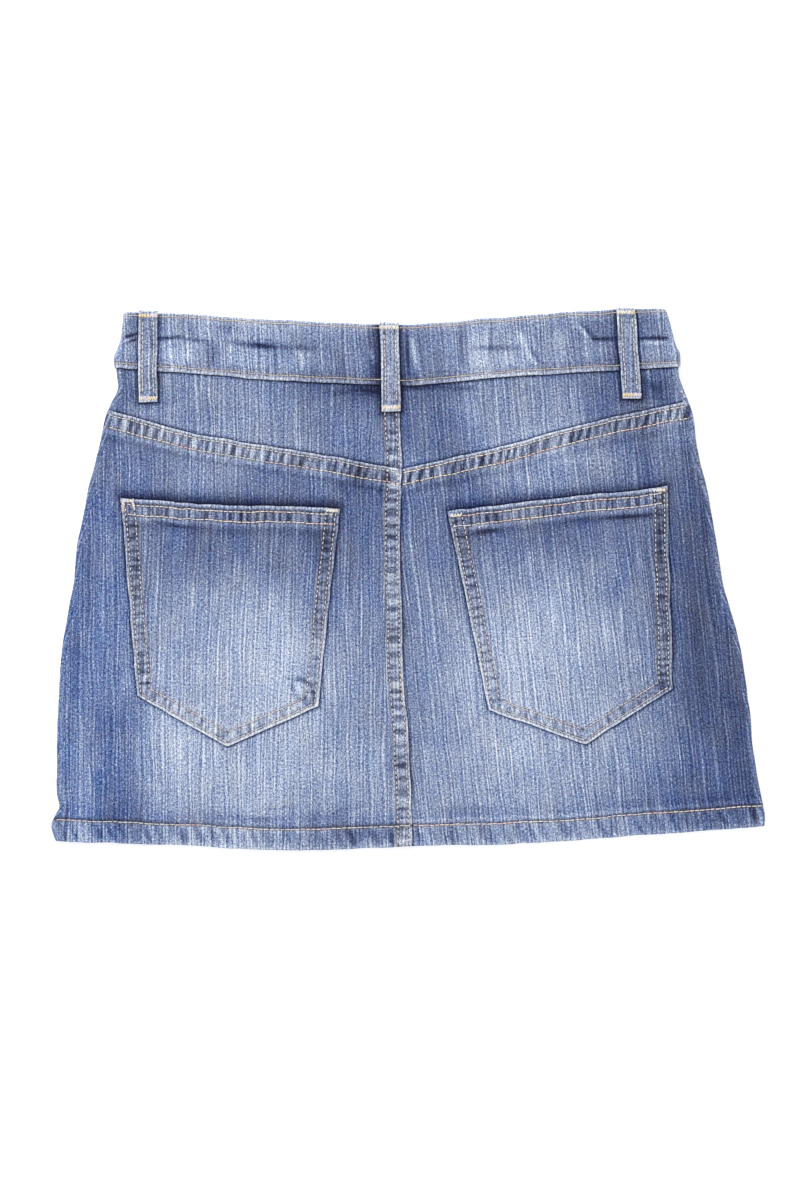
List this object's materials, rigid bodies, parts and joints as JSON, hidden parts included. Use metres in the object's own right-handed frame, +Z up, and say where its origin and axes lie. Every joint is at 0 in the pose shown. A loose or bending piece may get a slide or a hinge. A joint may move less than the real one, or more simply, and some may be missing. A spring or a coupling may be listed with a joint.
{
  "type": "denim skirt",
  "caption": "Short denim skirt laid flat on its front, back side up, with a shaped waistband, belt loops, a V yoke and patch pockets.",
  "frame": {"origin": "on the surface that the skirt lies on, under the middle of its bounding box", "axes": "+X across the skirt to the right of a person looking at its back, +Y from the hem to the waist, +Z up out of the surface"},
  "size_m": [0.4634, 0.3525, 0.0133],
  "materials": {
    "denim": "mid-blue slubby cotton denim, faded on the pocket seats and below them, darker at the sides",
    "zip_tape": "dark woven zip tape with a metal chain",
    "button_metal": "plain worn brass shank button"
  },
  "bodies": {
    "root": {"front_left": "denim", "front_right": "denim", "back_left": "denim", "back_right": "denim", "yoke_left": "denim", "yoke_right": "denim", "waistband": "denim", "pocket_left": "denim", "pocket_right": "denim", "belt_loop_back_left": "denim", "belt_loop_back_centre": "denim", "belt_loop_back_right": "denim", "belt_loop_front_left": "denim", "belt_loop_front_right": "denim", "zip": "zip_tape", "button": "button_metal"}
  },
  "joints": []
}
